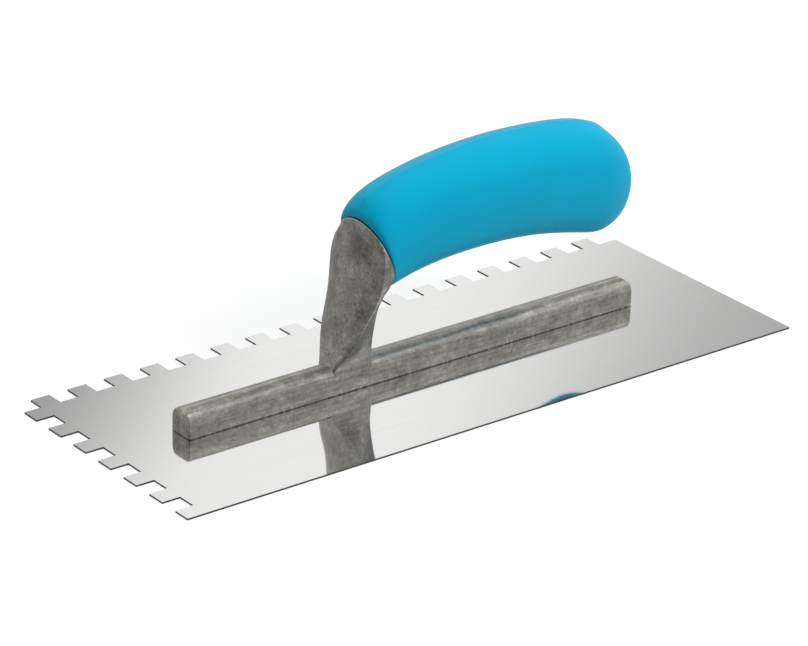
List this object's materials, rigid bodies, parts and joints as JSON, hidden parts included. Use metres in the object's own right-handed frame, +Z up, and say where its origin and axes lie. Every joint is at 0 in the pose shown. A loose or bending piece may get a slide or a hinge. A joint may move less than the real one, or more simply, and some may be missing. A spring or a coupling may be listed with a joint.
{
  "type": "notched trowel",
  "caption": "Square-notched flooring and tiling trowel: thin steel blade riveted to a cast bar and post, with an arched soft-skinned grip.",
  "frame": {"origin": "centre of the blade's underside, the face that rests on the work", "axes": "+X from the notched short edge (toe) to the plain short edge (heel), +Y to the notched long edge, +Z up from the blade to the grip"},
  "size_m": [0.28, 0.1106, 0.0847],
  "materials": {
    "blade_steel": "fine brushed stainless sheet",
    "cast_metal": "die-cast, tumbled",
    "rivet_metal": "ground flush",
    "core_plastic": "moulded polypropylene",
    "skin_rubber": "soft thermoplastic elastomer, satin",
    "screw_steel": "zinc plated",
    "plug_plastic": "moulded"
  },
  "bodies": {
    "root": {"blade": "blade_steel", "mounting_casting": "cast_metal", "blade_rivets": "rivet_metal", "grip_core": "core_plastic", "grip_skin": "skin_rubber", "handle_screw": "screw_steel", "screw_washer": "screw_steel", "end_plug": "plug_plastic"}
  },
  "joints": []
}
